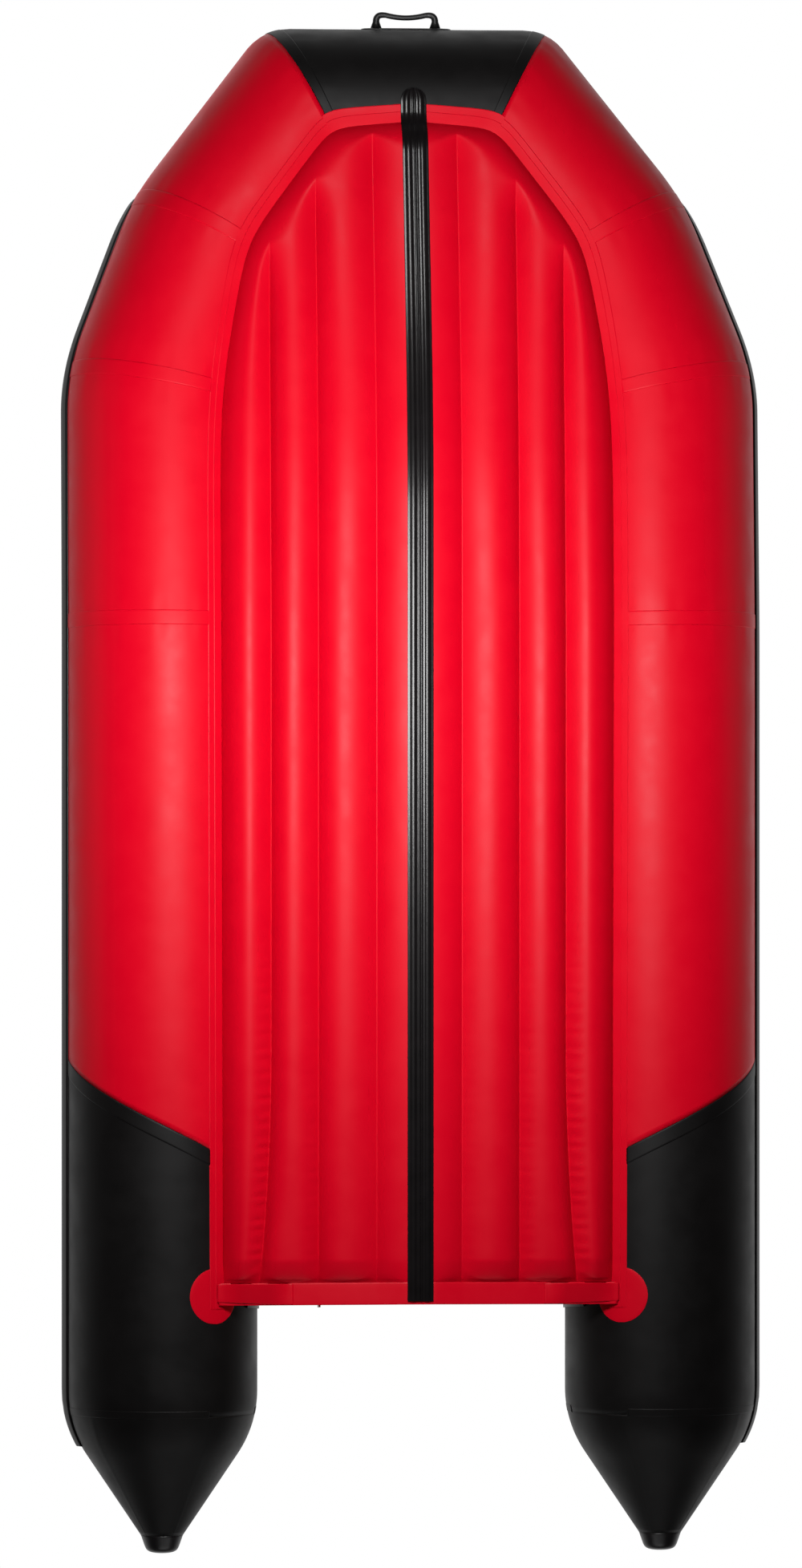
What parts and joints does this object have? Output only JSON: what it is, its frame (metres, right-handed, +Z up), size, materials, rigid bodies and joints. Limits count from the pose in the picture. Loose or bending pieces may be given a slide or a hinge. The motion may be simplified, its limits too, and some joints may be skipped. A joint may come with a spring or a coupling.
{
  "type": "inflatable dinghy",
  "caption": "Inflatable motor dinghy with mitred red and black air tubes, a chambered air floor with a ribbed keel strip, a wooden transom, sliding thwarts and rowlocks.",
  "frame": {"origin": "middle of the boat's length and beam, at the keel strip's underside", "axes": "+Y toward the stern along the keel, +X to port, +Z up"},
  "size_m": [1.4702, 3.247, 0.5809],
  "materials": {
    "red_pvc": "satin",
    "black_pvc": "satin",
    "grey_pvc": "matte",
    "black_rubber": "satin",
    "plywood": "varnished",
    "steel": "satin",
    "black_plastic": "matte",
    "grey_plastic": "matte",
    "red_plastic": "gloss"
  },
  "bodies": {
    "hull": {"bow_tube": "black_pvc", "port_forward_tube": "red_pvc", "starboard_forward_tube": "red_pvc", "port_shoulder_tube": "red_pvc", "starboard_shoulder_tube": "red_pvc", "port_fore_side_tube": "red_pvc", "starboard_fore_side_tube": "red_pvc", "port_aft_side_tube": "red_pvc", "starboard_aft_side_tube": "red_pvc", "port_stern_tube": "black_pvc", "starboard_stern_tube": "black_pvc", "port_stern_cone": "black_pvc", "starboard_stern_cone": "black_pvc", "cone_tips": "black_rubber", "chamber_walls": "red_pvc", "port_seam_tapes": "red_pvc", "starboard_seam_tapes": "red_pvc", "black_seam_tapes": "black_pvc", "floor_lower_skin": "red_pvc", "floor_upper_skin": "grey_pvc", "floor_webs": "grey_pvc", "keel_strip": "black_rubber", "port_floor_tape": "red_pvc", "starboard_floor_tape": "red_pvc", "bow_floor_tape": "red_pvc", "transom_tape": "red_pvc", "corner_patches": "red_pvc", "port_rub_strake": "black_rubber", "starboard_rub_strake": "black_rubber", "bow_handle_pad": "black_rubber", "bow_handle": "black_plastic", "transom_board": "plywood", "port_transom_holder": "black_rubber", "starboard_transom_holder": "black_rubber", "motor_pad_outer": "grey_plastic", "motor_pad_inner": "grey_plastic", "pad_rivets": "steel", "drain_body": "black_plastic", "port_seat_track": "black_rubber", "starboard_seat_track": "black_rubber", "rowlock_bases": "black_plastic", "valve_bodies": "black_plastic", "valve_springs": "steel"},
    "thwart_fore": {"thwart_fore": "plywood", "thwart_fore_sliders": "black_plastic"},
    "thwart_aft": {"thwart_aft": "plywood", "thwart_aft_sliders": "black_plastic"},
    "port_rowlock": {"port_rowlock": "black_plastic"},
    "starboard_rowlock": {"starboard_rowlock": "black_plastic"},
    "drain_plug": {"drain_plug": "red_plastic"},
    "port_valve_stem": {"port_valve_stem": "grey_plastic"},
    "port_valve_cap": {"port_valve_cap": "black_plastic"},
    "starboard_valve_stem": {"starboard_valve_stem": "grey_plastic"},
    "starboard_valve_cap": {"starboard_valve_cap": "black_plastic"},
    "bow_valve_stem": {"bow_valve_stem": "grey_plastic"},
    "bow_valve_cap": {"bow_valve_cap": "black_plastic"},
    "floor_valve_stem": {"floor_valve_stem": "grey_plastic"},
    "floor_valve_cap": {"floor_valve_cap": "black_plastic"}
  },
  "joints": [
    {"name": "thwart_fore_slide", "type": "slide", "parent": "hull", "child": "thwart_fore", "axis": [0, 1, 0], "range_m": [-0.07, 0.15]},
    {"name": "thwart_aft_slide", "type": "slide", "parent": "hull", "child": "thwart_aft", "axis": [0, 1, 0], "range_m": [-0.15, 0.11]},
    {"name": "port_rowlock_swivel", "type": "hinge", "parent": "hull", "child": "port_rowlock", "pos_m": [0.497, 0.1895, 0.446], "axis": [0, 0, 1], "range_deg": [-90, 90]},
    {"name": "starboard_rowlock_swivel", "type": "hinge", "parent": "hull", "child": "starboard_rowlock", "pos_m": [-0.497, 0.1895, 0.446], "axis": [0, 0, 1], "range_deg": [-90, 90]},
    {"name": "drain_plug_pull", "type": "slide", "parent": "hull", "child": "drain_plug", "axis": [0, 0.9976, -0.0698], "range_m": [0, 0.05]},
    {"name": "port_valve_press", "type": "slide", "parent": "hull", "child": "port_valve_stem", "axis": [0.8829, 0, -0.4695], "range_m": [0, 0.004], "stiffness_N_per_m": 300, "springref_m": -0.003, "deforming": ["valve_springs"]},
    {"name": "port_valve_twist", "type": "hinge", "parent": "hull", "child": "port_valve_cap", "pos_m": [0.34841, 0.8735, 0.32389], "axis": [-0.8829, 0, 0.4695], "range_deg": [0, 90]},
    {"name": "starboard_valve_press", "type": "slide", "parent": "hull", "child": "starboard_valve_stem", "axis": [-0.8829, 0, -0.4695], "range_m": [0, 0.004], "stiffness_N_per_m": 300, "springref_m": -0.003},
    {"name": "starboard_valve_twist", "type": "hinge", "parent": "hull", "child": "starboard_valve_cap", "pos_m": [-0.34841, 0.8735, 0.32389], "axis": [0.8829, 0, 0.4695], "range_deg": [0, 90]},
    {"name": "bow_valve_press", "type": "slide", "parent": "hull", "child": "bow_valve_stem", "axis": [0, -0.8829, -0.4695], "range_m": [0, 0.004], "stiffness_N_per_m": 300, "springref_m": -0.003},
    {"name": "bow_valve_twist", "type": "hinge", "parent": "hull", "child": "bow_valve_cap", "pos_m": [0, -1.20991, 0.47389], "axis": [0, 0.8829, 0.4695], "range_deg": [0, 90]},
    {"name": "floor_valve_press", "type": "slide", "parent": "hull", "child": "floor_valve_stem", "axis": [0, 0, -1], "range_m": [0, 0.004], "stiffness_N_per_m": 300, "springref_m": -0.003},
    {"name": "floor_valve_twist", "type": "hinge", "parent": "hull", "child": "floor_valve_cap", "pos_m": [0.1495, 0.9235, 0.11574], "axis": [0, 0, 1], "range_deg": [0, 90]}
  ]
}
